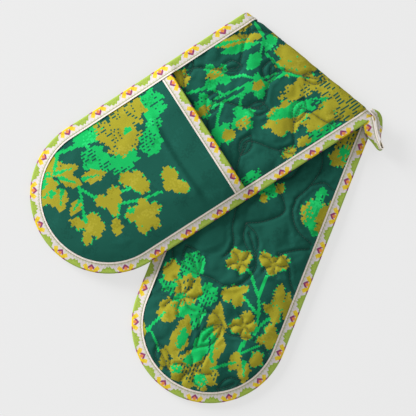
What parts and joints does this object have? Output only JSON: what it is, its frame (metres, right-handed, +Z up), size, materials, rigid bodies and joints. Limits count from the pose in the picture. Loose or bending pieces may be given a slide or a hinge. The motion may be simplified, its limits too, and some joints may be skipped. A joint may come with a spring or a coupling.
{
  "type": "double oven glove",
  "caption": "Long quilted strip with a round-ended hand pocket at each end, bound in patterned tape with a hanging loop, folded under itself at the middle.",
  "frame": {"origin": "centre of the bounding box's footprint, on the surface that the glove lies on", "axes": "+Z up, out of the upper pocket's face; +Y along the longer side of the footprint, towards the folded end; +X to the right, towards the hanging loop's side"},
  "size_m": [0.4066, 0.445, 0.0366],
  "materials": {
    "quilted_print": "matte woven cotton, printed",
    "pocket_cloth": "matte woven cotton, printed",
    "pocket_lining": "matte woven cotton",
    "wadding": "soft felt",
    "patterned_tape": "woven cotton tape, printed"
  },
  "bodies": {
    "lower_leg": {"lower_face_cloth": "quilted_print", "lower_wadding": "wadding", "lower_back_cloth": "quilted_print", "lower_edge_binding": "patterned_tape"},
    "lower_pocket": {"lower_pocket_cloth": "pocket_cloth", "lower_pocket_wadding": "wadding", "lower_pocket_lining": "pocket_lining", "lower_mouth_binding": "patterned_tape"},
    "fold_roll": {"fold_face_cloth": "quilted_print", "fold_wadding": "wadding", "fold_back_cloth": "quilted_print", "fold_loop_side_binding": "patterned_tape", "fold_plain_side_binding": "patterned_tape"},
    "upper_leg": {"upper_face_cloth": "quilted_print", "upper_wadding": "wadding", "upper_back_cloth": "quilted_print", "upper_edge_binding": "patterned_tape"},
    "upper_pocket": {"upper_pocket_cloth": "pocket_cloth", "upper_pocket_wadding": "wadding", "upper_pocket_lining": "pocket_lining", "upper_mouth_binding": "patterned_tape"},
    "loop": {"hanging_loop": "patterned_tape"}
  },
  "joints": [
    {"name": "fold_lower", "type": "hinge", "parent": "lower_leg", "child": "fold_roll", "pos_m": [0.11558, 0.15957, 0.00533], "axis": [-0.7727, 0.6347, 0], "range_deg": [0, 87], "deforming": ["fold_face_cloth", "fold_wadding", "fold_back_cloth", "fold_loop_side_binding", "fold_plain_side_binding"]},
    {"name": "fold_upper", "type": "hinge", "parent": "fold_roll", "child": "upper_leg", "pos_m": [0.11558, 0.15957, 0.01947], "axis": [-0.7727, 0.6347, 0], "range_deg": [0, 87], "deforming": ["fold_face_cloth", "fold_wadding", "fold_back_cloth", "fold_loop_side_binding", "fold_plain_side_binding"]},
    {"name": "upper_pocket_open", "type": "hinge", "parent": "upper_leg", "child": "upper_pocket", "pos_m": [-0.17816, -0.02643, 0.00559], "axis": [0.5402, -0.8415, 0], "range_deg": [0, 7], "deforming": ["upper_pocket_cloth", "upper_pocket_wadding", "upper_pocket_lining", "upper_mouth_binding"]},
    {"name": "lower_pocket_open", "type": "hinge", "parent": "lower_leg", "child": "lower_pocket", "pos_m": [-0.02558, -0.20471, 0.00613], "axis": [-0.9304, 0.3665, 0], "range_deg": [0, 7], "deforming": ["lower_pocket_cloth", "lower_pocket_wadding", "lower_pocket_lining", "lower_mouth_binding"]},
    {"name": "loop_swing", "type": "hinge", "parent": "fold_roll", "child": "loop", "pos_m": [0.18915, 0.09856, 0.0185], "axis": [0, 0, 1], "range_deg": [-20, 80]}
  ],
  "couplings": [
    {"joint": "fold_upper", "follows": "fold_lower", "ratio": 1}
  ]
}
